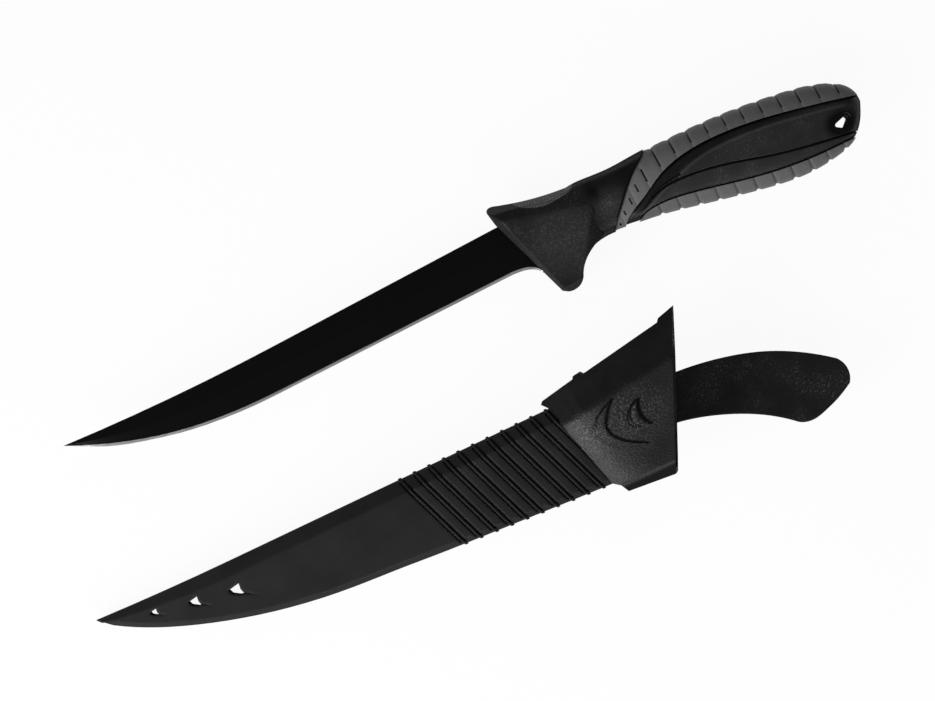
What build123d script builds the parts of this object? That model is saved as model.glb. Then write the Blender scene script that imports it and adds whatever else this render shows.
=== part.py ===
from build123d import *
import os
from math import atan2, degrees

# A fillet knife and its moulded sheath, lying side by side on a flat surface.
# Lengths are in millimetres and angles in degrees.
# Names that end in share or shares hold shares of a named length.
# Knife frame: the spine line is the X axis, the guard starts at X = 0, the tip points to -X.
# The edge faces -Y.
# Sheath frame: the same directions, with the back of the pocket on the X axis and the tip at -X.

# Blade
blade_length = 172.0
blade_height = 17.8
blade_thickness = 1.9
blade_tip_rise = 3.8
blade_root = 12.0
edge_thickness = 0.16
edge_bevel_thickness = 0.6
edge_bevel_height = 0.9
tang_length = 112.0
tang_hole_radius = 2.0

# Handle
handle_length = 139.5
handle_height = 35.6
handle_width = 21.0
grip_thickness = 2.6
neck_lip = 0.5
groove_width = 0.6
groove_depth = 0.55
groove_stop = 1.9
groove_pitch = 6.9
first_groove = 64.7
first_belly_groove = 57.9
notch_reach = 2.8
notch_depth = 0.4
belly_notch_reach = 1.4
belly_notch_depth = 0.7
groove_count = 11
notch_skin = 0.2
panel_sink = 0.6
panel_line_width = 0.7
panel_line_depth = 0.7
lanyard_hole_width = 5.6
lanyard_hole_height = 3.5
lanyard_hole_round = 0.5
lanyard_rim = 1.4
lanyard_rim_level = 6.4

# Guard
guard_length = 36.0
guard_drop = 32.7
guard_width = 14.0
pad_depth = 2.2
pad_tongue = 4.6

# Sheath pocket
sheath_length = 172.2
sheath_height = 33.0
sheath_thickness = 11.0
sheath_tip_thickness = 6.4
sheath_rim = 3.6
sheath_bevel = 5.2
sheath_edge_round = 1.7
pocket_thickness = 3.4
pocket_tip_thickness = 2.4
tenon_length = 4.6
tenon_step = 1.4
rib_width = 0.8
rib_rise = 0.45
rib_groove_width = 0.7
rib_groove_depth = 0.5
rib_groove_inset = 0.9
rib_pitch = 5.8
first_rib = -50.8
drain_hole_size = 5.1

# Collar
collar_length = 56.6
collar_height = 54.5
collar_thickness = 26.0
collar_wall = 1.4
crescent_rise = 0.5
rivet_radius = 1.6
rivet_head_radius = 3.0
rivet_head_height = 0.8

# Belt clip
clip_reach = 61.5
clip_plate_thickness = 3.0
clip_leg_thickness = 2.5
clip_leg_width = 13.0
clip_leg_length = 50.0
clip_web_thickness = 3.2
belt_gap = 7.0
clip_mouth_gap = 1.4
clip_lip = 1.0
clip_gap = 0.2

# Layout
sheath_offset_x = -19.9
sheath_offset_y = -65.9
sheath_turn_degrees = -2.5
overrun = 60.0

# Shares of the sizes above
spine_knee_share = 0.512
grind_share = 0.52
edge_shares = [(-0.930, -0.160), (-0.837, -0.492), (-0.744, -0.719), (-0.651, -0.846), (-0.558, -0.899)]
heel_shares = [(0.208, -1.028), (0.404, -1.096), (0.556, -1.253)]
tang_shares = [
    (0.06, -0.08), (0.06, -0.93), (0.20, -0.93), (0.98, -1.36),
    (1.00, -1.31), (1.00, -1.02), (0.98, -0.97), (0.20, -0.20),
]
tang_hole_shares = [(0.42, -0.73), (0.84, -1.05)]

# Handle stations: along, top, bottom and half width, as shares of the length, height and width
station_shares = [
    (0.158, 0.028, -0.632, 0.267),
    (0.229, 0.017, -0.601, 0.286),
    (0.287, 0.006, -0.592, 0.300),
    (0.344, -0.014, -0.626, 0.333),
    (0.416, -0.010, -0.675, 0.390),
    (0.502, -0.014, -0.757, 0.443),
    (0.602, -0.031, -0.857, 0.481),
    (0.652, -0.046, -0.904, 0.493),
    (0.703, -0.067, -0.948, 0.500),
    (0.803, -0.126, -1.000, 0.490),
    (0.889, -0.197, -0.978, 0.448),
    (0.946, -0.279, -0.906, 0.381),
    (0.982, -0.375, -0.758, 0.286),
    (1.000, -0.500, -0.620, 0.143),
]
inner_stations = 13
oval_fullness_share = 0.68
band_left_shares = [
    (0.275, -0.76), (0.288, -0.590), (0.326, -0.416), (0.360, -0.281), (0.397, -0.152),
    (0.430, -0.059), (0.462, 0.09),
]
band_inner_shares = [
    (0.303, -0.70), (0.316, -0.601), (0.388, -0.433), (0.459, -0.298), (0.538, -0.228), (0.631, -0.225),
    (0.750, -0.287), (0.854, -0.379), (0.957, -0.483), (1.020, -0.55),
]
seam_shares = [
    (0.335, -0.70), (0.372, -0.590), (0.415, -0.570), (0.500, -0.618), (0.655, -0.770), (0.817, -0.876),
    (0.942, -0.899), (1.020, -0.91),
]
# Short marks at the band's front: along, low end and high end
mark_shares = [
    (0.416, -0.308, -0.167), (0.384, -0.358, -0.274), (0.355, -0.438, -0.368), (0.328, -0.503, -0.457),
    (0.305, -0.576, -0.548),
]
panel_line_shares = [
    (0.406, -0.478), (0.437, -0.441), (0.496, -0.438), (0.603, -0.511), (0.729, -0.660),
    (0.885, -0.801), (0.958, -0.846),
]
fork_line_shares = [(0.410, -0.466), (0.439, -0.444), (0.464, -0.428), (0.494, -0.418)]
lanyard_hole_place_share = (0.928, -0.704)
lanyard_hole_shares = [(-0.5, 0.06), (0.40, 0.44), (0.5, 0.22), (0.0, -0.5)]

# Guard points as shares of the guard's length and drop
guard_front_shares = [(0.364, -0.957), (0.076, 0.028), (0.054, 0.185)]
guard_nose_shares = [(0.054, 0.185), (0.074, 0.223), (0.111, 0.229), (0.167, 0.212), (0.222, 0.191)]
guard_top_shares = [(0.222, 0.191), (0.556, 0.087), (1.0, 0.020)]
guard_heel_shares = [(1.0, -0.620), (0.833, -0.691), (0.70, -0.789), (0.619, -0.905)]
guard_tip_shares = [(0.619, -0.905), (0.53, -0.998), (0.417, -0.997)]
pad_zone_shares = [
    (0.30, 0.24), (0.339, 0.113), (0.478, 0.006), (0.611, -0.040), (0.75, -0.040), (0.90, -0.012),
    (0.97, 0.09),
]
# Slopes on each flank: start and end in shares of guard length and drop, then heights there, fall and run
# in shares of the half width
guard_slope_shares = [
    ((0.136, 0.021), (1.031, -0.278), (1.00, 1.00), 0.38, 0.81),
    ((0.08, 0.130), (1.0, -0.065), (0.84, 0.62), 0.50, 0.30),
    ((1.031, -0.278), (0.578, -0.985), (1.00, 1.00), 0.30, 0.60),
    ((0.386, -0.954), (0.136, 0.021), (1.00, 1.00), 0.24, 0.12),
    ((0.60, -0.936), (0.38, -0.936), (1.00, 1.00), 0.20, 0.28),
]

# Sheath outlines as shares of the pocket's length and height
pocket_tip_shares = [(-1.0, 0.036), (-0.971, -0.097)]
shell_top_knee_share = -0.690
shell_bottom_shares = [
    (-0.901, -0.295), (-0.830, -0.447), (-0.725, -0.620), (-0.620, -0.745), (-0.480, -0.842),
    (-0.370, -0.880), (-0.290, -0.913), (-0.221, -0.937), (-0.151, -0.959), (-0.081, -0.980),
    (-0.012, -1.001),
]
shell_rear_shares = (0.18, -1.048)
hollow_top_shares = [(0.18, -0.0227), (-0.690, -0.0227), (-0.962, 0.003)]
hollow_bottom_shares = [
    (-0.924, -0.14), (-0.830, -0.385), (-0.725, -0.558), (-0.620, -0.682), (-0.480, -0.776),
    (-0.234, -0.858),
]
hollow_rear_shares = (0.18, -0.912)
rib_count = 11
rib_lean_share = 0.379
drain_places_shares = [(-0.703, -0.335, 1.0), (-0.793, -0.257, 0.84), (-0.880, -0.169, 0.60)]
drain_fin_shares = [(-0.59, 0.28), (0.34, 0.45), (0.29, 0.01), (0.41, -0.39), (0.01, -0.32), (-0.46, -0.02)]
drain_tail_shares = [(0.30, -0.20), (0.41, -0.39), (1.35, -0.95)]

# Collar points as shares of the collar's length and height, from the collar's top front corner
collar_corner = (8.0, 3.6)
front_line_shares = [(0.0, 0.0), (0.177, -0.686)]
collar_outline_shares = [
    (-0.038, -0.008), (0.230, 0.043), (0.240, 0.060), (0.285, 0.066), (0.300, 0.045), (0.868, 0.141),
    (0.885, 0.164), (1.0, 0.196), (0.571, -0.806), (0.251, -0.778), (0.226, -0.723), front_line_shares[1],
    (0.008, -0.060),
]
mouth_points = (7, 8)
mouth_reach = 4
funnel_shares = [(0.0, 0.53), (0.09, 0.74), (0.25, 0.91), (0.50, 0.98), (0.90, 1.0), (1.4, 1.0)]
crest_line_shares = [(0.041, -0.207), (0.873, -0.099)]
crest_fall_share = 0.66
crest_run_share = 0.30
crest_steps = 9
lower_line_shares = [(0.624, -0.722), (0.239, -0.714)]
lower_fall_share = 0.16
lower_run_share = 0.07
crescent_outer_shares = [
    (0.413, -0.182), (0.321, -0.224), (0.249, -0.279), (0.215, -0.365), (0.282, -0.461), (0.391, -0.512),
    (0.497, -0.545),
]
crescent_inner_shares = [
    (0.497, -0.545), (0.417, -0.495), (0.352, -0.447), (0.302, -0.353), (0.336, -0.267), (0.413, -0.182),
]
crescent_small_outer_shares = [
    (0.561, -0.250), (0.476, -0.306), (0.455, -0.374), (0.490, -0.420), (0.572, -0.440),
]
crescent_small_inner_shares = [(0.572, -0.440), (0.544, -0.397), (0.533, -0.345), (0.561, -0.250)]
rivet_shares = [(0.42, -0.33), (0.42, -0.47)]

# Clip plate outline as shares of its reach past the collar's mouth, from the middle of the mouth
clip_origin = (49.8, -16.0)
clip_top_shares = [
    (-0.42, 0.105), (0.07, 0.132), (0.382, 0.085), (0.608, 0.014), (0.815, -0.094), (0.961, -0.199),
]
clip_end_shares = [(0.961, -0.199), (0.996, -0.285), (0.972, -0.362)]
clip_corner_shares = [
    (0.972, -0.362), (0.912, -0.395), (0.850, -0.423), (0.785, -0.445), (0.706, -0.465), (0.642, -0.460),
    (0.592, -0.431),
]
clip_bottom_shares = [(0.592, -0.431), (0.449, -0.324), (0.239, -0.220), (0.013, -0.151), (-0.42, -0.146)]
clip_hinge_shares = (0.789, -0.265)
clip_leg_turn_degrees = -18.8
clip_lip_share = 0.88


def scaled(shares, across, up, start=(0.0, 0.0)):
    """Points from shares of two lengths, counted from a start."""
    return [(start[0] + x * across, start[1] + y * up) for x, y in shares]


def on_handle(shares):
    return scaled(shares, handle_length, handle_height)


def on_guard(shares):
    return scaled(shares, guard_length, guard_drop)


def on_collar(shares):
    return scaled(shares, collar_length, collar_height, collar_corner)


def slope(start, end, fall, run):
    """Everything over a slope that starts on a line and falls away to the line's left."""
    along = Vector(*end) - Vector(*start)
    level = Vector(along.X, along.Y, 0).normalized()
    middle = (Vector(*start) + Vector(*end)) / 2
    foot = (overrun, -overrun * fall / run)
    with BuildPart() as block:
        with BuildSketch(Plane(origin=middle, x_dir=(-level.Y, level.X, 0), z_dir=level)):
            with BuildLine():
                Polyline((0, 0), foot, (overrun, overrun), (0, overrun), close=True)
            make_face()
        extrude(amount=2 * overrun, dir=along.normalized(), both=True)
    return block.part


# The blade: flat ground from the middle of its height, with a narrow steep bevel at the edge
def spine_height(x):
    """Height of the spine over its straight part."""
    knee = -spine_knee_share * blade_length
    return blade_tip_rise * (min(x - knee, 0) / (blade_length + knee)) ** 2


def drawn_back(point, back, rise):
    """An edge point moved towards the spine by a share of the depth there and by a height."""
    spine = spine_height(point[0])
    return (point[0], spine + (point[1] - spine) * (1 - back) + rise)


def blade_outline(level, back, rise):
    knee = (-spine_knee_share * blade_length, 0)
    tip = (-blade_length, blade_tip_rise)
    edge = [drawn_back(point, back, rise) for point in scaled(edge_shares, blade_length, blade_height)]
    heel_start = drawn_back((0, -blade_height), back, rise)
    heel = [drawn_back(point, back, rise) for point in scaled(heel_shares, blade_height, blade_height)]
    straight = (heel_start[0] - edge[-1][0], heel_start[1] - edge[-1][1])
    with BuildSketch(Plane.XY.offset(level)) as outline:
        with BuildLine():
            Line((blade_root, 0), knee)
            TangentArc(knee, tip, tangent=(-1, 0))
            Spline(tip, *edge, tangents=[(1, -0.5 * (1 - back)), straight])
            Line(edge[-1], heel_start)
            Spline(heel_start, *heel)
            Line(heel[-1], (blade_root, heel[-1][1]))
            Line((blade_root, heel[-1][1]), (blade_root, 0))
        make_face()
    return outline.sketch


blade_layers = [
    (-blade_thickness / 2, grind_share, 0),
    (-edge_bevel_thickness / 2, 0, edge_bevel_height),
    (-edge_thickness / 2, 0, 0),
    (edge_thickness / 2, 0, 0),
    (edge_bevel_thickness / 2, 0, edge_bevel_height),
    (blade_thickness / 2, grind_share, 0),
]
with BuildPart() as blade:
    loft([blade_outline(*layer) for layer in blade_layers], ruled=True)
    with BuildSketch(Plane.XY.offset(-blade_thickness / 2)):
        with BuildLine():
            Polyline(*scaled(tang_shares, tang_length, blade_height), close=True)
        make_face()
        with Locations(*scaled(tang_hole_shares, tang_length, blade_height)):
            Circle(tang_hole_radius, mode=Mode.SUBTRACT)
    extrude(amount=blade_thickness)
blade.part.label = "blade"


# The handle: an oval form along X, divided by lines drawn on its side view
def oval(along, top, bottom, side):
    """Oval face across the handle, squarer than an ellipse."""
    middle = (top + bottom) / 2
    full = oval_fullness_share
    with BuildSketch(Plane(origin=(along, 0, 0), x_dir=(0, 1, 0), z_dir=(1, 0, 0))) as face:
        with BuildLine():
            for up, over in ((1, 1), (-1, 1), (-1, -1), (1, -1)):
                tall = middle + up * (top - middle)
                near = middle + up * (top - middle) * full
                ends = [(tall, 0), (tall, over * side * full), (near, over * side), (middle, over * side)]
                Bezier(*(ends if up == over else ends[::-1]))
        make_face()
    return face.sketch


def oval_form(skin, count):
    """The handle's form grown by a skin, through its first stations."""
    faces = []
    for along, high, low, half in station_shares[:count]:
        top, bottom = high * handle_height + skin, low * handle_height - skin
        faces.append(oval(along * handle_length, top, bottom, half * handle_width + skin))
    with BuildPart() as form:
        loft(faces)
    return form.part


def side_zone(line, skirt):
    """Prism through the object, bounded by a smooth side-view line and straight lines outside it."""
    with BuildPart() as block:
        with BuildSketch():
            with BuildLine():
                Spline(*line)
                Polyline(line[-1], *skirt, line[0])
            make_face()
        extrude(amount=overrun, both=True)
    return block.part


band_left = on_handle(band_left_shares)
band_inner = on_handle(band_inner_shares)
seam = on_handle(seam_shares)
far_x = handle_length + overrun
before_band, over_inner = [
    side_zone(line, [(line[-1][0], overrun), (-overrun, overrun), (-overrun, line[0][1])])
    for line in (band_left, band_inner)
]
under_seam = side_zone(seam, [(far_x, seam[-1][1]), (far_x, -far_x), (seam[0][0], -far_x)])

handle_form = oval_form(0, len(station_shares))
inner_form = oval_form(-grip_thickness, inner_stations)


def between(table, place):
    """Row of a table at a place along it, on a smooth curve through its rows."""
    at = max(i for i in range(len(table) - 1) if table[i][0] <= place or i == 0)
    before, low, high, after = [table[min(max(at + i, 0), len(table) - 1)] for i in (-1, 0, 1, 2)]
    step = high[0] - low[0]
    part = (place - low[0]) / step
    turn = part * part * (3 - 2 * part)
    row = []
    for a, b, c, d in zip(before, low, high, after):
        leaving, reaching = (c - a) / (high[0] - before[0]), (d - b) / (after[0] - low[0])
        bend = leaving * part * (1 - part) ** 2 - reaching * part * part * (1 - part)
        row.append(b + (c - b) * turn + bend * step)
    return row


def cross_groove(place, low, high):
    """Groove across the handle between two heights, as deep as the grooves are."""
    _, top, bottom, half = between(station_shares, place / handle_length)
    top, bottom = top * handle_height - groove_depth, bottom * handle_height + groove_depth
    start = place - groove_width / 2
    bed = oval(start, top, bottom, half * handle_width - groove_depth)
    with BuildPart() as cut:
        with BuildSketch(Plane.YZ.offset(start)):
            with Locations((low, 0)):
                Rectangle(high - low, 2 * overrun, align=(Align.MIN, Align.CENTER))
        extrude(amount=groove_width)
        extrude(bed, amount=groove_width, mode=Mode.SUBTRACT)
    return cut.part


def notch(place, reach, depth):
    """V across the handle that is deepest at its outline and runs out at its sides."""
    ovals = []
    for along, part in ((place - reach, 0), (place, 1), (place + reach, 0)):
        _, top, bottom, half = between(station_shares, along / handle_length)
        sink = part * (depth + notch_skin) - notch_skin
        top, bottom = top * handle_height - sink, bottom * handle_height + sink
        ovals.append(oval(along, top, bottom, half * handle_width + notch_skin))
    with BuildPart() as waist:
        loft(ovals, ruled=True)
    with BuildPart() as cut:
        with BuildSketch(Plane.YZ.offset(place - reach)):
            Rectangle(2 * overrun, 2 * overrun)
        extrude(amount=2 * reach)
        add(waist.part, mode=Mode.SUBTRACT)
    return cut.part


with BuildPart() as spine_grip:
    add(handle_form)
    add(inner_form, mode=Mode.SUBTRACT)
    add(over_inner, mode=Mode.INTERSECT)
    add(before_band, mode=Mode.SUBTRACT)
    for i in range(groove_count):
        place = first_groove + i * groove_pitch
        add(cross_groove(place, between(band_inner, place)[1] + groove_stop, overrun), mode=Mode.SUBTRACT)
        add(notch(place, notch_reach, notch_depth), mode=Mode.SUBTRACT)
    for along, low, high in mark_shares:
        place, low, high = along * handle_length, low * handle_height, high * handle_height
        add(cross_groove(place, low, high), mode=Mode.SUBTRACT)
spine_grip.part.label = "spine_grip"

with BuildPart() as belly_grip:
    add(handle_form)
    add(inner_form, mode=Mode.SUBTRACT)
    add(under_seam, mode=Mode.INTERSECT)
    for i in range(groove_count):
        place = first_belly_groove + i * groove_pitch
        add(notch(place, belly_notch_reach, belly_notch_depth), mode=Mode.SUBTRACT)
belly_grip.part.label = "belly_grip"


# The guard: a thick spur with a raised three-cornered flank on each side
def guard_block(drop, thickness):
    front, nose, top = on_guard(guard_front_shares), on_guard(guard_nose_shares), on_guard(guard_top_shares)
    heel, tip = on_guard(guard_heel_shares), on_guard(guard_tip_shares)
    with BuildPart() as block:
        with BuildSketch(Plane((0, -drop, 0))):
            with BuildLine():
                Polyline(*front)
                Spline(*nose)
                Spline(*top)
                Line(top[-1], heel[0])
                Spline(*heel)
                ThreePointArc(*tip)
                Line(tip[-1], front[0])
            make_face()
        extrude(amount=thickness / 2, both=True)
    return block.part


half_guard = guard_width / 2
with BuildPart() as guard:
    add(guard_block(0, guard_width))
    for start_share, end_share, heights, fall, run in guard_slope_shares:
        ends = [(x, y, z * half_guard) for (x, y), z in zip(on_guard([start_share, end_share]), heights)]
        cut = slope(*ends, fall * half_guard, run * half_guard)
        add([cut, mirror(cut, Plane.XY, mode=Mode.PRIVATE)], mode=Mode.SUBTRACT)

with BuildPart() as front_form:
    add(oval_form(neck_lip, len(station_shares)))
    add(before_band, mode=Mode.INTERSECT)
    add(guard.part)

pad_line = on_guard(pad_zone_shares)
with BuildPart() as thumb_pad:
    add(front_form.part)
    add(side_zone(pad_line, [(pad_line[-1][0], overrun), (pad_line[0][0], overrun)]), mode=Mode.INTERSECT)
    add(guard_block(pad_depth, pad_tongue), mode=Mode.SUBTRACT)
thumb_pad.part.label = "thumb_pad"


# The moulded core: guard, neck, the part under the grips and the side panels
def lanyard_hole(level, grow, depth):
    """Prism of the lanyard hole's outline, grown, from a level outwards."""
    place = on_handle([lanyard_hole_place_share])[0]
    with BuildPart() as hole:
        with BuildSketch(Plane.XY.offset(level)) as outline:
            with BuildLine():
                corners = scaled(lanyard_hole_shares, lanyard_hole_width, lanyard_hole_height, place)
                Polyline(*corners, close=True)
            make_face()
            fillet(outline.vertices(), lanyard_hole_round)
            offset(amount=grow)
        extrude(amount=depth)
    return hole.part


def line_prism(shares, width):
    with BuildPart() as prism:
        with BuildSketch():
            with BuildLine() as path:
                Spline(*on_handle(shares))
            trace(path.edges(), line_width=width)
        extrude(amount=overrun, both=True)
    return prism.part


panel_form = oval_form(-panel_sink, len(station_shares))
line_floor = oval_form(-panel_sink - panel_line_depth, inner_stations)
with BuildPart() as handle_core:
    add(panel_form)
    for line in (panel_line_shares, fork_line_shares):
        add(line_prism(line, panel_line_width), mode=Mode.SUBTRACT)
    add(line_floor)
    add([over_inner, under_seam, before_band], mode=Mode.SUBTRACT)
    add([inner_form, front_form.part])
    add([thumb_pad.part, blade.part], mode=Mode.SUBTRACT)
    add(lanyard_hole(-overrun, lanyard_hole_round / 2, 2 * overrun), mode=Mode.SUBTRACT)
    for side in (1, -1):
        add(lanyard_hole(side * lanyard_rim_level, lanyard_rim, side * overrun), mode=Mode.SUBTRACT)
handle_core.part.label = "handle_core"


# The sheath's pocket: a moulded form that thins towards the tip, parted on its mid-plane
half_sheath = sheath_thickness / 2
sheath_fall = (sheath_thickness - sheath_tip_thickness) / 2 / sheath_length
pocket_fall = (pocket_thickness - pocket_tip_thickness) / 2 / sheath_length


def on_pocket(shares):
    return scaled(shares, sheath_length, sheath_height)


def tilted(height, fall):
    """Plane at a height over the mouth that comes closer to the mid-plane towards the tip."""
    return Plane(origin=(0, 0, height), x_dir=(1, 0, fall), z_dir=(-fall, 0, 1))


def shell_outline(plane, top_inset, low_inset):
    """Side view of the pocket, drawn in from its back edge and from its other edges."""
    tip_top, tip_low = [(x + low_inset, y) for x, y in on_pocket(pocket_tip_shares)]
    tip_top, tip_low = (tip_top[0], tip_top[1] - top_inset / 3), (tip_low[0], tip_low[1] + low_inset / 3)
    bottom = [(x, y + low_inset) for x, y in on_pocket(shell_bottom_shares + [shell_rear_shares])]
    rear = bottom[-1][0]
    knee = (shell_top_knee_share * sheath_length, -top_inset)
    with BuildSketch(plane) as outline:
        with BuildLine():
            Line((rear, -top_inset), knee)
            TangentArc(knee, tip_top, tangent=(-1, 0))
            Line(tip_top, tip_low)
            Spline(tip_low, *bottom)
            Line(bottom[-1], (rear, -top_inset))
        make_face()
    return outline.sketch


def shell_form(skin):
    """The pocket's outer form grown by a skin."""
    rim = shell_outline(Plane.XY, -skin, -skin)
    shoulder = shell_outline(Plane.XY.offset(sheath_rim / 2), -skin, -skin)
    top = tilted(half_sheath + skin, sheath_fall)
    face = shell_outline(top, sheath_bevel - skin, sheath_edge_round - skin)
    with BuildPart() as form:
        loft([rim, shoulder, face], ruled=True)
        mirror(about=Plane.XY)
    return form.part


def hollow_outline(plane):
    rear, knee, tip = on_pocket(hollow_top_shares)
    bottom = on_pocket(hollow_bottom_shares + [hollow_rear_shares])
    with BuildSketch(plane) as outline:
        with BuildLine():
            Line(rear, knee)
            TangentArc(knee, tip, tangent=(-1, 0))
            Line(tip, bottom[0])
            Spline(*bottom)
            Line(bottom[-1], rear)
        make_face()
    return outline.sketch


hollow_faces = [hollow_outline(tilted(side * pocket_thickness / 2, side * pocket_fall)) for side in (-1, 1)]
with BuildPart() as hollow:
    loft(hollow_faces, ruled=True)

def drain_forms(shares):
    """Prisms of one outline at each drain, at the drain's own size."""
    with BuildPart() as forms:
        with BuildSketch():
            for x, y, size in drain_places_shares:
                place, reach = on_pocket([(x, y)])[0], size * drain_hole_size
                with BuildLine():
                    Polyline(*scaled(shares, reach, reach, place), close=True)
                make_face()
        extrude(amount=overrun, both=True)
    return forms.part


def rib_bars(width):
    """Slanted bars across the pocket, one for each rib."""
    with BuildPart() as bars:
        for i in range(rib_count):
            start = (first_rib + i * rib_pitch, 0, 0)
            with BuildSketch(Plane(origin=start, x_dir=(1, rib_lean_share, 0), z_dir=(0, 0, 1))):
                Rectangle(width, 4 * sheath_height)
        extrude(amount=overrun, both=True)
    return bars.part


# The collar's front line, which the pocket ends on
collar_outline = on_collar(collar_outline_shares)
front_top, front_low = [Vector(*point) for point in on_collar(front_line_shares)]
front_along = (front_low - front_top).normalized()
front_back = Vector(-front_along.Y, front_along.X, 0)


def behind_front(distance):
    """Everything that lies further behind the front line than a distance."""
    with BuildPart() as block:
        start = front_top + front_back * distance
        with BuildSketch(Plane(origin=start, x_dir=front_back, z_dir=(0, 0, 1))):
            Rectangle(2 * overrun, 4 * overrun, align=(Align.MIN, Align.CENTER))
        extrude(amount=overrun, both=True)
    return block.part


pocket_form, groove_floor, rib_form, tenon_form = [
    shell_form(skin) for skin in (0, -rib_groove_depth, rib_rise, -tenon_step)
]
with BuildPart() as tenon:
    add(tenon_form)
    add(behind_front(0), mode=Mode.INTERSECT)
    add(behind_front(tenon_length), mode=Mode.SUBTRACT)

with BuildPart() as surface_cuts:
    extrude(shell_outline(Plane.XY, rib_groove_inset, rib_groove_inset), amount=overrun, both=True)
    add(rib_bars(rib_width + 2 * rib_groove_width), mode=Mode.INTERSECT)
    add(drain_forms(drain_tail_shares))
    add(groove_floor, mode=Mode.SUBTRACT)

with BuildPart() as ribs:
    add(rib_bars(rib_width))
    add(rib_form, mode=Mode.INTERSECT)

with BuildPart() as pocket:
    add(pocket_form)
    add(surface_cuts.part, mode=Mode.SUBTRACT)
    add(ribs.part)
    add(behind_front(0), mode=Mode.SUBTRACT)
    add(tenon.part)
    add([hollow.part, drain_forms(drain_fin_shares)], mode=Mode.SUBTRACT)

with BuildPart() as sheath_front:
    add(pocket.part)
    split(bisect_by=Plane.XY, keep=Keep.TOP)
sheath_front.part.label = "sheath_front"

with BuildPart() as sheath_back:
    add(pocket.part)
    split(bisect_by=Plane.XY, keep=Keep.BOTTOM)
sheath_back.part.label = "sheath_back"


# The belt clip: a plate on the collar's back with a web at its end
half_collar = collar_thickness / 2
clip_floor = half_collar + clip_plate_thickness
clip_hinge = scaled([clip_hinge_shares], clip_reach, clip_reach, clip_origin)[0]
hinge_plane = Plane(origin=(*clip_hinge, -clip_floor), z_dir=(0, 0, 1))
hinge_plane = hinge_plane.rotated((0, 0, clip_leg_turn_degrees))
leg_profile_plane = Plane(origin=hinge_plane.origin, x_dir=hinge_plane.x_dir, z_dir=-hinge_plane.y_dir)
root_radius = clip_leg_thickness / 2
root_level = -belt_gap - root_radius
web_reach, web_height = clip_web_thickness + root_radius, belt_gap + clip_leg_thickness


def clip_prism(level, thickness):
    top, end, corner, bottom = [
        scaled(shares, clip_reach, clip_reach, clip_origin)
        for shares in (clip_top_shares, clip_end_shares, clip_corner_shares, clip_bottom_shares)
    ]
    with BuildPart() as prism:
        with BuildSketch(Plane.XY.offset(level)):
            with BuildLine():
                Spline(*top)
                ThreePointArc(*end)
                Spline(*corner)
                Spline(*bottom)
                Line(bottom[-1], top[0])
            make_face()
        extrude(amount=thickness)
    return prism.part


def rivets(radius, level, height):
    with BuildPart() as pins:
        with BuildSketch(Plane.XY.offset(level)):
            with Locations(*on_collar(rivet_shares)):
                Circle(radius)
        extrude(amount=height)
    return pins.part


clip_plate = clip_prism(-clip_floor, clip_plate_thickness)
rivet_seat = -(half_collar - collar_wall)
rivet_shanks = rivets(rivet_radius, -clip_floor, clip_floor + rivet_seat)
with BuildPart() as belt_clip:
    add(clip_plate)
    with BuildSketch(leg_profile_plane):
        Rectangle(web_reach, web_height, align=(Align.MIN, Align.MAX))
        with Locations((0, root_level)):
            Circle(root_radius + clip_gap, mode=Mode.SUBTRACT)
    extrude(amount=clip_leg_width / 2, both=True)
    add(rivet_shanks, mode=Mode.SUBTRACT)
belt_clip.part.label = "belt_clip"

lip_along = -clip_lip_share * clip_leg_length
leg_top = [(0, -belt_gap), (lip_along, -clip_mouth_gap), (-clip_leg_length, -clip_mouth_gap - clip_lip)]
leg_bottom = [(x, y - clip_leg_thickness) for x, y in leg_top]
with BuildPart() as clip_leg:
    with BuildSketch(leg_profile_plane):
        with BuildLine():
            Polyline(*leg_top, *leg_bottom[::-1])
            ThreePointArc(leg_bottom[0], (root_radius, root_level), leg_top[0])
        make_face()
    extrude(amount=clip_leg_width / 2, both=True)
clip_leg.part.label = "clip_leg"

with BuildPart() as clip_rivets:
    add(rivet_shanks)
    add(rivets(rivet_head_radius, rivet_seat, rivet_head_height))
    add(rivets(rivet_head_radius, -clip_floor - rivet_head_height, rivet_head_height))
clip_rivets.part.label = "clip_rivets"


# The collar: a wide funnel behind the pocket that takes the guard
def behind(point):
    """How far a point of the side view lies behind the front line."""
    return front_back.dot(Vector(*point) - front_top)


def funnel_height(distance, skin):
    """Half thickness of the collar at a distance behind the front line, grown by a skin."""
    return between(funnel_shares, distance / collar_length)[1] * half_collar + skin


def on_funnel(start, end, distance, skin):
    """Point of the collar's side over a line of the side view, at a distance behind the front line."""
    part = (distance - behind(start)) / (behind(end) - behind(start))
    place = Vector(*start) + (Vector(*end) - Vector(*start)) * part
    return (place.X, place.Y, funnel_height(distance, skin))


def collar_slopes(skin):
    """Blocks over the slope above the crest line and over the one under the lower line."""
    crest, lower = on_collar(crest_line_shares), on_collar(lower_line_shares)
    reach = funnel_shares[-1][0] * collar_length / crest_steps
    crest_points = [on_funnel(*crest, i * reach, skin) for i in range(crest_steps + 1)]
    blocks = [
        slope(start, end, crest_fall_share * half_collar, crest_run_share * collar_height)
        for start, end in zip(crest_points, crest_points[1:])
    ]
    low_points = [on_funnel(*lower, behind(point), skin) for point in lower]
    blocks.append(slope(*low_points, lower_fall_share * half_collar, lower_run_share * collar_height))
    return blocks


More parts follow.
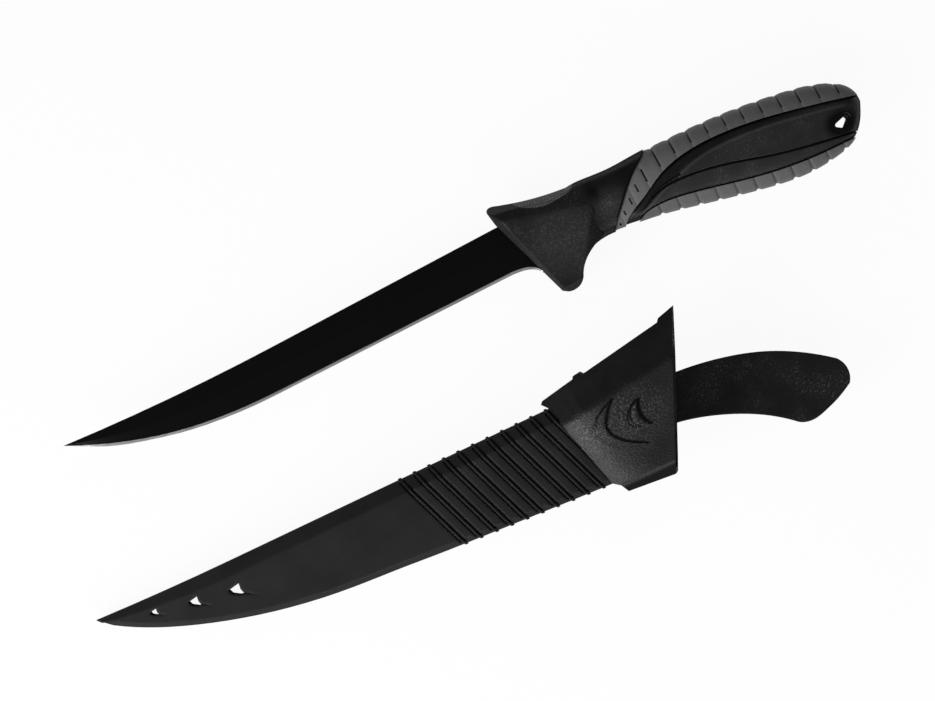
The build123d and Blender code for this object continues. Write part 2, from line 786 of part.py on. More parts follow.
def collar_form(skin, past):
    """The collar's form grown by a skin, with its mouth moved back."""
    outline = [(x + past * (i in mouth_points), y) for i, (x, y) in enumerate(collar_outline)]
    profile = [(share * collar_length, half * half_collar + skin) for share, half in funnel_shares]
    low_profile = [(x, -y) for x, y in profile]
    blocks = collar_slopes(skin)
    with BuildPart() as form:
        with BuildSketch() as side_view:
            with BuildLine():
                Polyline(*outline, close=True)
            make_face()
            if skin:
                offset(amount=skin, kind=Kind.INTERSECTION)
        extrude(amount=half_collar + skin, both=True)
        with BuildSketch(Plane(origin=front_top, x_dir=front_back, z_dir=front_along)):
            with BuildLine():
                Spline(*profile)
                Spline(*low_profile)
                Line(profile[-1], low_profile[-1])
                start, low_start = profile[0], low_profile[0]
                Polyline(start, (-overrun, start[1]), (-overrun, low_start[1]), low_start)
            make_face()
        extrude(amount=2 * overrun, both=True, mode=Mode.INTERSECT)
        for block in blocks:
            add([block, mirror(block, Plane.XY, mode=Mode.PRIVATE)], mode=Mode.SUBTRACT)
    return form.part


def crescent(outer_shares, inner_shares):
    with BuildPart() as prism:
        with BuildSketch():
            with BuildLine():
                Spline(*on_collar(outer_shares))
                Spline(*on_collar(inner_shares))
            make_face()
        extrude(amount=overrun)
    return prism.part


collar_outside = collar_form(0, 0)
collar_raised = collar_form(crescent_rise, 0)
collar_inside = collar_form(-collar_wall, collar_wall * mouth_reach)
with BuildPart() as clip_pad:
    add(clip_prism(-half_collar, collar_wall))
    with BuildSketch(Plane.XY.offset(-half_collar)):
        with BuildLine():
            Polyline(*collar_outline, close=True)
        make_face()
    extrude(amount=collar_wall, mode=Mode.INTERSECT)

with BuildPart() as crescents:
    add(crescent(crescent_outer_shares, crescent_inner_shares))
    add(crescent(crescent_small_outer_shares, crescent_small_inner_shares))
    add(collar_raised, mode=Mode.INTERSECT)

with BuildPart() as collar_hollow:
    add(collar_inside)
    add(behind_front(tenon_length), mode=Mode.INTERSECT)

with BuildPart() as sheath_collar:
    add([collar_outside, clip_pad.part, crescents.part])
    add([collar_hollow.part, tenon_form, pocket.part, rivet_shanks], mode=Mode.SUBTRACT)
    add(rivets(rivet_head_radius, rivet_seat, 2 * collar_wall), mode=Mode.SUBTRACT)
sheath_collar.part.label = "sheath_collar"


# Layout: both on one flat surface, the sheath on its tip and on the end of its clip
knife_pieces = (blade, handle_core, spine_grip, belly_grip, thumb_pad)
sheath_pieces = (sheath_front, sheath_back, sheath_collar, belt_clip, clip_leg, clip_rivets)
clip_low = clip_floor + belt_gap + clip_leg_thickness
sheath_pitch = degrees(atan2(clip_low - sheath_tip_thickness / 2, clip_hinge[0] + sheath_length))
sheath_turns = Rot(0, 0, sheath_turn_degrees) * Rot(0, -sheath_pitch, 0)
sheath_place = Pos(sheath_offset_x, sheath_offset_y) * sheath_turns
for piece in knife_pieces:
    piece.part.move(Pos(0, 0, handle_width / 2))
for piece in sheath_pieces:
    piece.part.move(sheath_place)
sheath_low = Compound([piece.part for piece in sheath_pieces]).bounding_box().min.Z
for piece in sheath_pieces:
    piece.part.move(Pos(0, 0, -sheath_low))
pieces = knife_pieces + sheath_pieces
overall = Compound([piece.part for piece in pieces]).bounding_box()

os.makedirs("parts", exist_ok=True)
for piece in pieces:
    piece.part.move(Pos(-overall.center().X, -overall.center().Y, -overall.min.Z))
    export_step(piece.part, f"parts/{piece.part.label}.step")
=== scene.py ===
from math import radians

import bpy
from mathutils import Matrix, Vector


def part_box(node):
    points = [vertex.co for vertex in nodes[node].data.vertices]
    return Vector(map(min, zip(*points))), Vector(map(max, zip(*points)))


# Lengths are in metres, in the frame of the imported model.
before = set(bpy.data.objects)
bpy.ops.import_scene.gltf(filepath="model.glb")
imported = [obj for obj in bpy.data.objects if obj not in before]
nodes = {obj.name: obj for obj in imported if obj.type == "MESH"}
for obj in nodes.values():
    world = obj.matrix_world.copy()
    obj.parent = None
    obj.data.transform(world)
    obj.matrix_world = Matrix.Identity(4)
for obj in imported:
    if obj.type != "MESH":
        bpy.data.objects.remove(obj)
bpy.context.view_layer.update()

# The knife's own frame: the spine line is its X axis and the guard starts at its zero
blade_length = 0.172
blade_tip_rise = 0.0038
blade_low, blade_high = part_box("blade")
blade_middle = (blade_low + blade_high) / 2
knife_zero = Vector((blade_low.x + blade_length, blade_high.y - blade_tip_rise, blade_middle.z))
knife_matrix = Matrix.Translation(knife_zero)

# The sheath's own frame: the back of the pocket is its X axis
sheath_zero = Vector((0.00608, -0.01236, 0.01751))
sheath_turn = radians(-2.5)
sheath_pitch = radians(-4.71)
sheath_matrix = Matrix.Translation(sheath_zero) @ Matrix.Rotation(sheath_turn, 4, "Z")
sheath_matrix = sheath_matrix @ Matrix.Rotation(sheath_pitch, 4, "Y")

# Lines of the handle's side view: along, and down from the spine line, as shares of its length and height
handle_length = 0.1395
handle_height = 0.0356
band_inner_shares = [
    (0.316, 0.601), (0.388, 0.433), (0.459, 0.298), (0.538, 0.228), (0.631, 0.225), (0.750, 0.287),
    (0.957, 0.483),
]
crease_shares = [
    (0.316, 0.66), (0.400, 0.53), (0.495, 0.400), (0.588, 0.335), (0.711, 0.360), (0.864, 0.470),
    (0.957, 0.56),
]
groove_shares = [
    (0.406, 0.478), (0.437, 0.441), (0.496, 0.438), (0.603, 0.511), (0.729, 0.660), (0.885, 0.801),
    (0.957, 0.846),
]
fork_shares = [
    (0.406, 0.462), (0.440, 0.425), (0.470, 0.405), (0.500, 0.394),
]
seam_shares = [
    (0.316, 0.72), (0.372, 0.590), (0.415, 0.570), (0.500, 0.618), (0.655, 0.770), (0.817, 0.876),
    (0.957, 0.905),
]
# The band's front edge is steep, so here the share down comes first
band_left_shares = [
    (0.0, 0.447), (0.059, 0.430), (0.152, 0.397), (0.281, 0.360), (0.416, 0.326), (0.590, 0.288),
    (0.760, 0.275),
]
panel_start_share = 0.30
panel_full_share = 0.37
line_core_share = 0.35
# Reaches of the painted shade along the handle's grooves, seams and the band's front edge, and of the
# crease's painted highlight
line_reach_share = 0.022
edge_line_reach_share = 0.030
front_shadow_reach_share = 0.010

# Places of the handle's side view, in the knife's own frame. The dent, the neck behind the guard's ridge and
# the lanyard's recess get painted shade, the gleam and the flank a painted highlight, and above the flank's
# crest there is painted shade and a softer rounding.
dent_place = (0.0390, -0.0046)
dent_reach = (0.0030, 0.0060)
gleam_place = (0.0425, -0.0118)
gleam_reach = (0.0090, 0.0075)
flank_place = (0.0215, -0.0160)
flank_reach = (0.0150, 0.0150)
flank_crest_start = (0.0049, 0.0007)
flank_crest_end = (0.0371, -0.0091)
flank_crest_reach = 0.0050
flank_crest_fade = 0.0012
guard_ridge_low = (0.0203, -0.0308)
guard_ridge_top = (0.0356, -0.0094)
guard_ridge_fade = 0.0010
lanyard_place = (0.1295, -0.0251)
lanyard_reach = (0.0075, 0.0060)
lanyard_core_share = 0.6
blade_bevel_level = 0.00031

# Cross grooves of the two bands: the first one's place along the knife's frame, and their pitch
spine_groove_start = 0.0647
belly_groove_start = 0.0579
groove_pitch = 0.0069

# The collar in the sheath's own frame: its crest, with painted shade above it; the painted pools of light,
# one where the light pools and one around the crescents; and its lower slope, which gets painted shade
crest_start = (0.0103, -0.0077)
crest_end = (0.0574, -0.0018)
crest_reach = 0.0035
crest_fade = (-0.0020, 0.0010)
light_pool_place = (0.0200, -0.0140)
light_pool_reach = (0.0140, 0.0100)
crescent_glint_place = (0.0360, -0.0150)
crescent_glint_reach = (0.0170, 0.0140)
low_slope_top = -0.0350
low_slope_full = -0.0372

# Outlines of the two crescents on the collar, along which lines of painted shade go: down, and along, as
# shares of its height and length
collar_corner = (0.0080, 0.0036)
collar_length = 0.0566
collar_height = 0.0545
crescent_line_reach_share = 0.024
crescent_curves_shares = [
    [(0.182, 0.413), (0.224, 0.321), (0.279, 0.249), (0.365, 0.215), (0.461, 0.282), (0.512, 0.391),
     (0.545, 0.497)],
    [(0.182, 0.413), (0.267, 0.336), (0.353, 0.302), (0.447, 0.352), (0.495, 0.417), (0.545, 0.497)],
    [(0.250, 0.561), (0.306, 0.476), (0.374, 0.455), (0.420, 0.490), (0.440, 0.572)],
    [(0.250, 0.561), (0.345, 0.533), (0.397, 0.544), (0.440, 0.572)],
]

# Tones are grey levels from 0 for black to 1 for white, with a trace more blue
blue_share = 1.02
coating_tones = (0.0010, 0.0018)
steel_tones = (0.25, 0.55)
handle_tones = (0.009, 0.017)
panel_tone = 0.006
# The crease's tone is a painted highlight line
crease_highlight_tone = 0.016
handle_speck_tone = 0.055
# Painted highlight: the lit specks and the light on the guard's gleam and flank
lit_speck_tone = 0.05
lit_tone = 0.020
collar_tones = (0.009, 0.016)
# Painted highlight specks on the collar, where the light pools and around the crescents
collar_glint_tone = 0.11
dot_tones = (0.07, 0.14)
rubber_tone_spread = (0.9, 1.1)
paper_tone = 0.85

# Shares of the tone that are left where painted shade darkens a part of a surface
line_shade = 0.05
dark_part_shade = 0.45
slope_shade = 0.35
steep_shade = 0.5
upper_collar_shade = 0.6
low_slope_shade = 0.1
plastic_crevice_shade = 0.15
handle_crevice_shade = 0.1
rubber_crevice_shade = 0.12

# How much of the gleam's painted highlight the guard's flank takes
flank_light = 0.7

# Roughness, and how strongly a surface mirrors
plastic_roughness = 0.42
handle_roughness = 0.44
clip_roughness = 0.38
smooth_roughness = 0.27
steep_roughness = 0.9
rubber_roughness = 0.6
coating_roughness = 0.34
steel_roughness = 0.36
rivet_roughness = 0.35
plastic_specular = 0.18
collar_specular = 0.2
coating_specular = 0.12
rubber_specular = 0.3
metal_specular = 0.5

# Grain: the sizes of its cells and patches, its depth, and the rounding of edges
grain_cell = 0.0006
sheath_grain_cell = 0.0005
rivet_grain_cell = 0.0004
handle_grain_depth = 0.00010
collar_grain_depth = 0.00024
sheath_grain_depth = 0.00004
clip_grain_depth = 0.00014
rivet_grain_depth = 0.00001
rubber_grain_depth = 0.00006
handle_patch = 0.010
plastic_patch = 0.012
slope_depth = 0.0012
slope_power = 0.6
# Where the slope's painted shade fades out, and how much smoother the shaded slope is
slope_fade = (0.75, 1.0)
slope_smoothness = 0.9
pillow_depth = 0.0003
pillow_power = 4.0
dot_depth = 0.0002
dot_fade = (0.25, 0.5)
dot_disorder = 0.15
edge_rounding = 0.0006
crest_rounding = 0.0030
sheath_rounding = 0.0014
clip_rounding = 0.0008
small_rounding = 0.0003
bevel_samples = 8

# Painted shade in crevices: how far the surface looks around, and which share of open sky counts as closed
# and as clear
plastic_crevice_reach = 0.0016
handle_crevice_reach = 0.0014
narrow_crevice_reach = 0.0010
crevice_range = (0.30, 0.85)
collar_crevice_range = (0.55, 0.92)
crevice_samples = 12
# Which normals count as flat and as upright, for the painted shade and rougher finish on steep walls
steep_range = (0.35, 0.85)

# Noises: details and harshness, how many grains there are to a metre, and the parts of the range in use
pebble_noise = (4.0, 0.6)
patch_noise = (3.0, 0.5)
speck_noise = (2.0, 0.6)
speck_patch_noise = (2.0, 0.5)
streak_noise = (3.0, 0.6)
pebble_noise_share = 0.6
lit_grains = 1500.0
rubber_grains = 2600.0
rubber_dots = 900.0
blade_streaks = (30.0, 2500.0, 2500.0)
noise_range = (0.3, 0.7)
speck_range = (0.56, 0.74)
speck_patch_range = (0.42, 0.62)
lit_speck_range = (0.5, 0.72)

# View: straight down, turned so that the knife's spine rises to the right
view_turn = radians(-28.0)
view_centre = (-0.00137, 0.01936)
view_height = 2.0
view_width = 0.3366
sensor_width = 36.0

# Stage: each lamp's turn from the image's right and lean from straight above, both in degrees,
# then its distance, size and watts
lamps = {
    "key": (-140, 60, 0.9, 0.45, 7.5),
    "low": (-78, 62, 0.9, 0.5, 4.5),
    "back": (70, 50, 1.2, 0.6, 1.0),
}
world_strength = 0.22
half_floor = 3.0
floor_level = -0.0002
floor_glow_share = 0.94
white = (1, 1, 1, 1)


# Helpers that add shader nodes
def add_node(tree, kind, *inputs, out=0, **settings):
    """Adds a node, fills its inputs in order with numbers or links, and returns one of its outputs."""
    made = tree.nodes.new(kind)
    for name, value in settings.items():
        setattr(made, name, value)
    for socket, value in zip(made.inputs, inputs):
        if isinstance(value, bpy.types.NodeSocket):
            tree.links.new(value, socket)
        elif value is not None:
            socket.default_value = value
    return made.outputs[out]


def calc(tree, operation, *values):
    return add_node(tree, "ShaderNodeMath", *values, operation=operation)


def times(tree, first, *others):
    for other in others:
        first = calc(tree, "MULTIPLY", first, other)
    return first


def largest(tree, first, *others):
    for other in others:
        first = calc(tree, "MAXIMUM", first, other)
    return first


def with_more(tree, tone, part, amount):
    """A tone with an amount added where a part is one."""
    return calc(tree, "MULTIPLY_ADD", part, amount, tone)


def opposite(tree, value):
    return calc(tree, "SUBTRACT", 1.0, value)


def axis(tree, vector, index):
    return add_node(tree, "ShaderNodeSeparateXYZ", vector, out=index)


def stretched(tree, value, low, high, to_low=0.0, to_high=1.0):
    return add_node(tree, "ShaderNodeMapRange", value, low, high, to_low, to_high)


def fading(tree, value, at_zero, at_one):
    return stretched(tree, value, 0.0, 1.0, at_zero, at_one)


def mixed(tree, factor, first, second):
    made = tree.nodes.new("ShaderNodeMix")
    made.data_type = "RGBA"
    for index, value in ((0, factor), (6, first), (7, second)):
        if isinstance(value, bpy.types.NodeSocket):
            tree.links.new(value, made.inputs[index])
        else:
            made.inputs[index].default_value = value
    return made.outputs[2]


def grey(level):
    return (level, level, level * blue_share, 1)


def noise(tree, place, grains, character, spread=noise_range, to_low=0.0, to_high=1.0):
    """Noise with a number of grains to a metre, stretched from a part of its range to two numbers."""
    made = add_node(tree, "ShaderNodeTexNoise", place, None, grains, *character)
    return stretched(tree, made, *spread, to_low, to_high)


def new_material(name, roughness, specular):
    material = bpy.data.materials.new(name)
    material.use_nodes = True
    tree = material.node_tree
    shader = tree.nodes["Principled BSDF"]
    shader.inputs["Roughness"].default_value = roughness
    shader.inputs["Specular IOR Level"].default_value = specular
    return material, tree, shader


def paint(tree, shader, tone):
    """Uses a number as the base colour's grey level."""
    tree.links.new(mixed(tree, tone, grey(0), grey(1)), shader.inputs["Base Color"])


def own_place(tree, matrix):
    """Texture place in a piece's own frame."""
    place = add_node(tree, "ShaderNodeTexCoord", out=3)
    origin, turns = matrix.to_translation(), matrix.to_euler()
    return add_node(tree, "ShaderNodeMapping", place, origin, turns, vector_type="TEXTURE")


def rounded(tree, radius, **settings):
    return add_node(tree, "ShaderNodeBevel", radius, **settings)


def bumped(tree, height, normal, depth):
    bump = add_node(tree, "ShaderNodeBump")
    inputs = bump.node.inputs
    inputs["Strength"].default_value = 1.0
    inputs["Distance"].default_value = depth
    tree.links.new(height, inputs["Height"])
    tree.links.new(normal, inputs["Normal"])
    return bump


def pebbled(tree, place, normal, cell, depth):
    """Normal of a fine moulded grain."""
    pebbles = add_node(tree, "ShaderNodeTexVoronoi", place, None, 1 / cell, feature="SMOOTH_F1")
    fine = add_node(tree, "ShaderNodeTexNoise", place, None, pebble_noise_share / cell, *pebble_noise)
    return bumped(tree, times(tree, pebbles, fine), normal, depth)


def patchy(tree, place, size, low, high):
    """Soft patches between two numbers."""
    return noise(tree, place, 1 / size, patch_noise, noise_range, low, high)


def speckles(tree, place, cell, patch):
    """Sparse fine specks, gathered in soft patches."""
    specks = noise(tree, place, 1 / cell, speck_noise, speck_range)
    return times(tree, specks, noise(tree, place, 1 / patch, speck_patch_noise, speck_patch_range))


def crevices(tree, reach, sky_range=crevice_range):
    """One on open faces, falling to zero in grooves and corners narrower than a reach."""
    open_sky = add_node(tree, "ShaderNodeAmbientOcclusion", None, reach, out=1, samples=crevice_samples)
    return stretched(tree, open_sky, *sky_range)


def steepness(tree):
    """Zero on faces that lie flat, one on upright ones."""
    normal = add_node(tree, "ShaderNodeNewGeometry", out=1)
    return stretched(tree, calc(tree, "ABSOLUTE", axis(tree, normal, 2)), *steep_range, 1.0, 0.0)


# Helpers that mark places of a side view, where a place is along and across
def over_line(tree, place, start, end):
    """Height over a straight line."""
    level = stretched(tree, axis(tree, place, 0), start[0], end[0], start[1], end[1])
    return calc(tree, "SUBTRACT", axis(tree, place, 1), level)


def past_line(tree, place, low, top, fade):
    """Rises to one behind an upright line, given from its low end to its top."""
    front = stretched(tree, axis(tree, place, 1), low[1], top[1], low[0], top[0])
    return stretched(tree, calc(tree, "SUBTRACT", axis(tree, place, 0), front), 0.0, fade)


def soft_edge(tree, height, reach, radius, soft_radius):
    """Rounded normal with a larger radius near a line, from the height over that line."""
    near = stretched(tree, calc(tree, "ABSOLUTE", height), 0.0, reach, 1.0, 0.0)
    return rounded(tree, fading(tree, near, radius, soft_radius), samples=bevel_samples)


def spot(tree, place, centre, reach, core=0.0):
    """One at a place and over its core, falling to zero at its reach."""
    moved = add_node(tree, "ShaderNodeMapping", place, (*centre, 0), None, (*reach, 1), vector_type="TEXTURE")
    flat = add_node(tree, "ShaderNodeVectorMath", moved, (1, 1, 0), operation="MULTIPLY")
    distance = add_node(tree, "ShaderNodeVectorMath", flat, operation="LENGTH", out=1)
    return stretched(tree, distance, core, 1.0, 1.0, 0.0)


def share_curve(tree, value, shares):
    """Smooth curve through a few points, as a function of a number between 0 and 1."""
    made = tree.nodes.new("ShaderNodeFloatCurve")
    tree.links.new(value, made.inputs["Value"])
    points = made.mapping.curves[0].points
    while len(points) < len(shares):
        points.new(*shares[-1])
    for point, place in zip(points, shares):
        point.location = place
    made.mapping.update()
    return made.outputs[0]


def near_curve(tree, first, second, shares, reach):
    """One on a curve, falling to zero at a reach from it."""
    gap = calc(tree, "ABSOLUTE", calc(tree, "SUBTRACT", second, share_curve(tree, first, shares)))
    return stretched(tree, gap, reach * line_core_share, reach, 1.0, 0.0)


def near_stretch(tree, first, second, shares, reach):
    """Like near_curve, but only between the curve's two ends."""
    after_start = calc(tree, "GREATER_THAN", first, shares[0][0])
    before_end = calc(tree, "LESS_THAN", first, shares[-1][0])
    return times(tree, after_start, before_end, near_curve(tree, first, second, shares, reach))


def between_curves(tree, along, depth, upper_shares, lower_shares):
    """Share of the way from an upper curve down to a lower one, kept between 0 and 1."""
    upper, lower = share_curve(tree, along, upper_shares), share_curve(tree, along, lower_shares)
    down, reach = calc(tree, "SUBTRACT", depth, upper), calc(tree, "SUBTRACT", lower, upper)
    return stretched(tree, calc(tree, "DIVIDE", down, reach), 0.0, 1.0)


# Materials
def grained(name, tones, roughness, specular, cell, depth, rounding, speck=0.0):
    """Moulded surface with a fine pebbled grain, rounded edges and painted shade in crevices and on steep
    walls.
    """
    material, tree, shader = new_material(name, roughness, specular)
    place = add_node(tree, "ShaderNodeTexCoord", out=3)
    normal = pebbled(tree, place, rounded(tree, rounding), cell, depth)
    tree.links.new(normal, shader.inputs["Normal"])
    steep = steepness(tree)
    tone = patchy(tree, place, plastic_patch, *tones)
    tone = with_more(tree, tone, speckles(tree, place, cell, plastic_patch), speck)
    # Painted shade in crevices and on steep walls
    clear = fading(tree, crevices(tree, plastic_crevice_reach), plastic_crevice_shade, 1.0)
    paint(tree, shader, times(tree, tone, clear, fading(tree, steep, 1.0, steep_shade)))
    tree.links.new(fading(tree, steep, roughness, steep_roughness), shader.inputs["Roughness"])
    return material


def coated_blade():
    """Black coating on the flats and bare ground steel on the narrow bevel at the edge."""
    material, tree, shader = new_material("blade_coating", coating_roughness, coating_specular)
    place = own_place(tree, knife_matrix)
    normal = add_node(tree, "ShaderNodeNewGeometry", out=3)
    thin = calc(tree, "LESS_THAN", calc(tree, "ABSOLUTE", axis(tree, place, 2)), blade_bevel_level)
    bare = times(tree, thin, calc(tree, "LESS_THAN", axis(tree, normal, 1), 0.0))
    streaks = add_node(tree, "ShaderNodeMapping", place, None, None, blade_streaks)
    lines = noise(tree, streaks, 1.0, streak_noise)
    coating, steel = [mixed(tree, lines, *map(grey, tones)) for tones in (coating_tones, steel_tones)]
    tree.links.new(mixed(tree, bare, coating, steel), shader.inputs["Base Color"])
    tree.links.new(bare, shader.inputs["Metallic"])
    tree.links.new(fading(tree, bare, coating_roughness, steel_roughness), shader.inputs["Roughness"])
    return material


def handle_shade_lines(tree, along, depth):
    """Painted shade along the grooves and seams of the handle's panel."""
    lines = [near_curve(tree, along, depth, groove_shares, line_reach_share)]
    for shares in (band_inner_shares, seam_shares):
        lines.append(near_curve(tree, along, depth, shares, edge_line_reach_share))
    lines.append(near_stretch(tree, along, depth, fork_shares, line_reach_share))
    return largest(tree, *lines)


def handle_plastic():
    """Grained black plastic with painted shade in its seams and grooves, on the slope under the spine band
    and on the neck, painted highlights on the guard's gleam and flank, and softly rounded along the flank's
    crest.
    """
    material, tree, shader = new_material("handle_plastic", plastic_roughness, plastic_specular)
    place = own_place(tree, knife_matrix)
    along = calc(tree, "DIVIDE", axis(tree, place, 0), handle_length)
    depth = calc(tree, "DIVIDE", axis(tree, place, 1), -handle_height)
    steep = steepness(tree)

    over_flank = over_line(tree, place, flank_crest_start, flank_crest_end)
    edge = soft_edge(tree, over_flank, flank_crest_reach, edge_rounding, crest_rounding)
    slope_part = between_curves(tree, along, depth, band_inner_shares, crease_shares)
    sloped = bumped(tree, calc(tree, "POWER", slope_part, slope_power), edge, slope_depth)
    tree.links.new(pebbled(tree, place, sloped, grain_cell, handle_grain_depth), shader.inputs["Normal"])

    in_panel = stretched(tree, along, panel_start_share, panel_full_share)
    # Painted shade: dark lines along the panel's grooves and seams and the band's front edge, and dark spots
    # in the lanyard's recess and the dent
    lines = times(tree, handle_shade_lines(tree, along, depth), in_panel)
    front_shadow_line = near_curve(tree, depth, along, band_left_shares, front_shadow_reach_share)
    recess_shade = spot(tree, place, lanyard_place, lanyard_reach, lanyard_core_share)
    dent_shade = spot(tree, place, dent_place, dent_reach)
    shade_marks = largest(tree, lines, front_shadow_line, recess_shade, dent_shade)
    # Painted shade on the slope under the spine band, down to the crease
    painted_slope_shade = times(tree, stretched(tree, slope_part, *slope_fade, 1.0, 0.0), in_panel)
    # Painted highlight along the crease line
    crease_highlight = near_stretch(tree, along, depth, crease_shares, line_reach_share)
    # Painted shade on the neck behind the guard's ridge and above the flank's crest
    behind_ridge = past_line(tree, place, guard_ridge_low, guard_ridge_top, guard_ridge_fade)
    neck_shade = times(tree, behind_ridge, opposite(tree, in_panel))
    shaded_part = largest(tree, neck_shade, stretched(tree, over_flank, 0.0, flank_crest_fade))

    # Painted highlight on the neck's gleam and the guard's flank, with brighter specks there
    gleam = spot(tree, place, gleam_place, gleam_reach)
    lit_flank = spot(tree, place, flank_place, flank_reach)
    lit = largest(tree, gleam, times(tree, lit_flank, flank_light))
    lit_specks = times(tree, noise(tree, place, lit_grains, speck_noise, lit_speck_range), lit)

    tone = patchy(tree, place, handle_patch, *handle_tones)
    tone = times(tree, tone, fading(tree, shaded_part, 1.0, dark_part_shade))
    tone = with_more(tree, tone, in_panel, panel_tone)
    tone = with_more(tree, tone, times(tree, crease_highlight, in_panel), crease_highlight_tone)
    tone = with_more(tree, tone, speckles(tree, place, grain_cell, handle_patch), handle_speck_tone)
    tone = with_more(tree, tone, lit_specks, lit_speck_tone)
    tone = with_more(tree, tone, lit, lit_tone)
    # Painted shade on the lines, the slope, in crevices and on steep walls
    shades = [
        fading(tree, shade_marks, 1.0, line_shade), fading(tree, painted_slope_shade, 1.0, slope_shade),
        fading(tree, crevices(tree, handle_crevice_reach), handle_crevice_shade, 1.0),
        fading(tree, steep, 1.0, steep_shade),
    ]
    paint(tree, shader, times(tree, tone, *shades))

    smooth = largest(tree, shade_marks, times(tree, painted_slope_shade, slope_smoothness))
    roughness = fading(tree, smooth, handle_roughness, smooth_roughness)
    roughness = largest(tree, roughness, times(tree, steep, steep_roughness))
    tree.links.new(roughness, shader.inputs["Roughness"])
    return material


def outside_crescent_shade(tree, place):
    """One on the collar, falling to zero where shade is painted: on the crescents' outlines and in crevices.
    """
    corner, size = (*collar_corner, 0), (collar_length, collar_height, 1)
    share = add_node(tree, "ShaderNodeMapping", place, corner, None, size, vector_type="TEXTURE")
    rear, down = axis(tree, share, 0), times(tree, axis(tree, share, 1), -1.0)
    outside_shade = crevices(tree, narrow_crevice_reach, collar_crevice_range)
    for shares in crescent_curves_shares:
        line = near_stretch(tree, down, rear, shares, crescent_line_reach_share)
        outside_shade = calc(tree, "MINIMUM", outside_shade, opposite(tree, line))
    return outside_shade


def collar_plastic():
    """Leather-like black plastic, soft along the crest, with painted shade above the crest, on the low slope
    and along the crescents, and painted highlight specks where the light pools and around the crescents.
    """
    material, tree, shader = new_material("collar_plastic", plastic_roughness, collar_specular)
    place = own_place(tree, sheath_matrix)
    over_crest = over_line(tree, place, crest_start, crest_end)
    edge = soft_edge(tree, over_crest, crest_reach, edge_rounding, crest_rounding)
    tree.links.new(pebbled(tree, place, edge, grain_cell, collar_grain_depth), shader.inputs["Normal"])

    # Painted shade above the crest, on the low slope and along the crescents' outlines
    upper = stretched(tree, over_crest, *crest_fade)
    shaded_low_slope = stretched(tree, axis(tree, place, 1), low_slope_full, low_slope_top, 1.0, 0.0)
    outside_shade = outside_crescent_shade(tree, place)
    # Painted highlight specks where the light pools and around the crescents
    light_pool = spot(tree, place, light_pool_place, light_pool_reach)
    crescent_glint = spot(tree, place, crescent_glint_place, crescent_glint_reach)
    specks = noise(tree, place, lit_grains, speck_noise, lit_speck_range)
    specks = times(tree, specks, largest(tree, light_pool, crescent_glint))

    tone = patchy(tree, place, plastic_patch, *collar_tones)
    tone = with_more(tree, tone, specks, collar_glint_tone)
    shades = [
        fading(tree, upper, 1.0, upper_collar_shade), fading(tree, outside_shade, line_shade, 1.0),
        fading(tree, shaded_low_slope, 1.0, low_slope_shade),
    ]
    paint(tree, shader, times(tree, tone, *shades))

    smooth = largest(tree, upper, opposite(tree, outside_shade))
    roughness = fading(tree, smooth, plastic_roughness, smooth_roughness)
    matt = times(tree, largest(tree, shaded_low_slope, steepness(tree)), steep_roughness)
    tree.links.new(largest(tree, roughness, matt), shader.inputs["Roughness"])
    return material


def banded_rubber(name, level, start):
    """Grey rubber whose blocks between the cross grooves are slightly pillowed, with painted shade in its
    crevices.
    """
    material, tree, shader = new_material(name, rubber_roughness, rubber_specular)
    place = own_place(tree, knife_matrix)
    blocks = calc(tree, "DIVIDE", calc(tree, "SUBTRACT", axis(tree, place, 0), start), groove_pitch)
    centred = fading(tree, calc(tree, "FRACT", blocks), -1.0, 1.0)
    crown = opposite(tree, calc(tree, "POWER", calc(tree, "ABSOLUTE", centred), pillow_power))
    grain = add_node(tree, "ShaderNodeTexNoise", place, None, rubber_grains, *streak_noise)
    pillow = bumped(tree, crown, rounded(tree, small_rounding), pillow_depth)
    tree.links.new(bumped(tree, grain, pillow, rubber_grain_depth), shader.inputs["Normal"])
    tone = stretched(tree, grain, *noise_range, *(level * share for share in rubber_tone_spread))
    # Painted shade in the rubber's crevices
    clear = fading(tree, crevices(tree, narrow_crevice_reach), rubber_crevice_shade, 1.0)
    paint(tree, shader, times(tree, tone, clear))
    return material


def dotted_rubber():
    """Grey rubber with rows of small raised dots."""
    material, tree, shader = new_material("thumb_rubber", rubber_roughness, rubber_specular)
    place = own_place(tree, knife_matrix)
    dots = add_node(tree, "ShaderNodeTexVoronoi", place, None, rubber_dots)
    dots.node.inputs["Randomness"].default_value = dot_disorder
    raised = stretched(tree, dots, *dot_fade, 1.0, 0.0)
    tree.links.new(bumped(tree, raised, rounded(tree, small_rounding), dot_depth), shader.inputs["Normal"])
    tree.links.new(mixed(tree, raised, *map(grey, dot_tones)), shader.inputs["Base Color"])
    return material


materials = {
    "blade": coated_blade(),
    "handle_core": handle_plastic(),
    "spine_grip": banded_rubber("spine_rubber", level=0.115, start=spine_groove_start),
    "belly_grip": banded_rubber("belly_rubber", level=0.085, start=belly_groove_start),
    "thumb_pad": dotted_rubber(),
    "sheath_front": grained(
        "sheath_plastic", tones=(0.010, 0.014), roughness=plastic_roughness, specular=plastic_specular,
        cell=sheath_grain_cell, depth=sheath_grain_depth, rounding=sheath_rounding, speck=0.006),
    "sheath_collar": collar_plastic(),
    "belt_clip": grained(
        "clip_plastic", tones=(0.005, 0.009), roughness=clip_roughness, specular=plastic_specular,
        cell=grain_cell, depth=clip_grain_depth, rounding=clip_rounding, speck=0.060),
    "clip_rivets": grained(
        "rivet_metal", tones=(0.25, 0.35), roughness=rivet_roughness, specular=metal_specular,
        cell=rivet_grain_cell, depth=rivet_grain_depth, rounding=small_rounding),
}
same_finish = {"sheath_back": "sheath_front", "clip_leg": "belt_clip"}
for name, node in nodes.items():
    node.data.materials.clear()
    node.data.materials.append(materials[same_finish.get(name, name)])


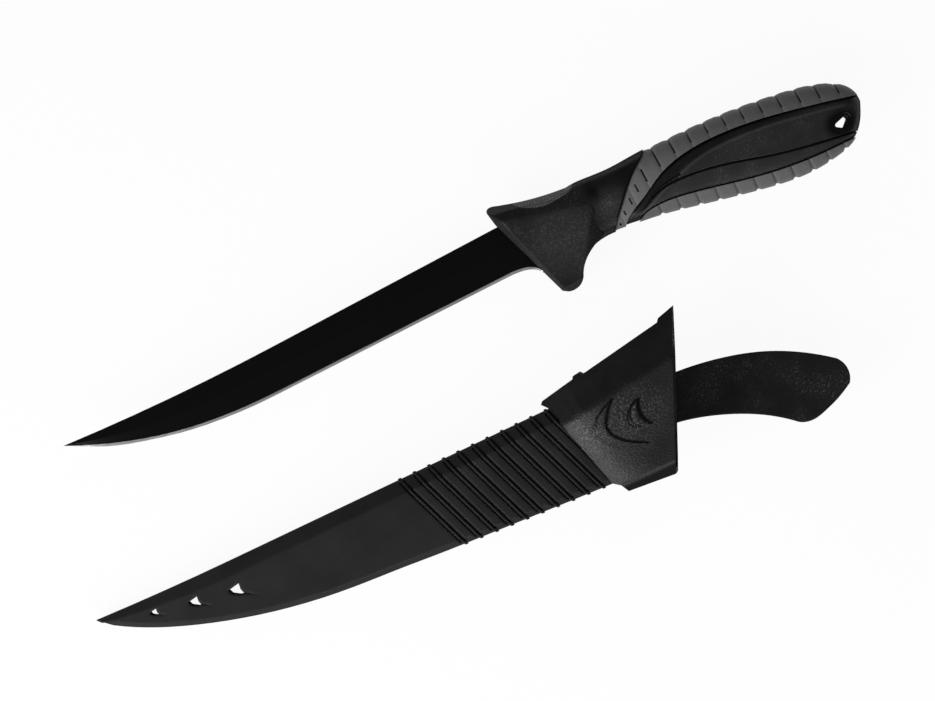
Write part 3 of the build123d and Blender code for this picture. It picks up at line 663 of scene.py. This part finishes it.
# Stage, camera and lamps
def pale_floor():
    """Paper that takes the shadows, mixed with a glow that only the camera and mirroring rays see."""
    material = bpy.data.materials.new("floor")
    material.use_nodes = True
    tree = material.node_tree
    tree.nodes.clear()
    rays = tree.nodes.new("ShaderNodeLightPath").outputs
    seen = largest(tree, rays["Is Camera Ray"], rays["Is Glossy Ray"], rays["Is Transmission Ray"])
    paper = add_node(tree, "ShaderNodeBsdfDiffuse", (paper_tone, paper_tone, paper_tone, 1))
    glow = add_node(tree, "ShaderNodeEmission", white, 1.0)
    share = times(tree, seen, floor_glow_share)
    surface = add_node(tree, "ShaderNodeMixShader", share, paper, glow)
    out = tree.nodes.new("ShaderNodeOutputMaterial")
    tree.links.new(surface, out.inputs["Surface"])
    return material


def new_object(name, data):
    made = bpy.data.objects.new(name, data)
    bpy.context.scene.collection.objects.link(made)
    return made


floor_mesh = bpy.data.meshes.new("floor")
floor_signs = ((-1, -1), (1, -1), (1, 1), (-1, 1))
corners = [(x * half_floor, y * half_floor, floor_level) for x, y in floor_signs]
floor_mesh.from_pydata(corners, [], [(0, 1, 2, 3)])
floor = new_object("floor", floor_mesh)
floor.data.materials.append(pale_floor())

camera_data = bpy.data.cameras.new("camera")
camera_data.sensor_width = sensor_width
camera_data.lens = sensor_width * (view_height - knife_zero.z) / view_width
camera = new_object("camera", camera_data)
camera.location = (*view_centre, view_height)
camera.rotation_euler = (0, 0, view_turn)
bpy.context.scene.camera = camera

for name, (turn, lean, distance, size, power) in lamps.items():
    lamp_data = bpy.data.lights.new(name, "AREA")
    lamp_data.size = size
    lamp_data.energy = power
    aim = Matrix.Rotation(view_turn + radians(turn), 4, "Z") @ Matrix.Rotation(radians(lean), 4, "Y")
    new_object(name, lamp_data).matrix_world = aim @ Matrix.Translation((0, 0, distance))

world = bpy.data.worlds.new("world")
bpy.context.scene.world = world
world.use_nodes = True
background = world.node_tree.nodes["Background"]
background.inputs["Color"].default_value = white
background.inputs["Strength"].default_value = world_strength
bpy.context.scene.view_settings.view_transform = "Standard"
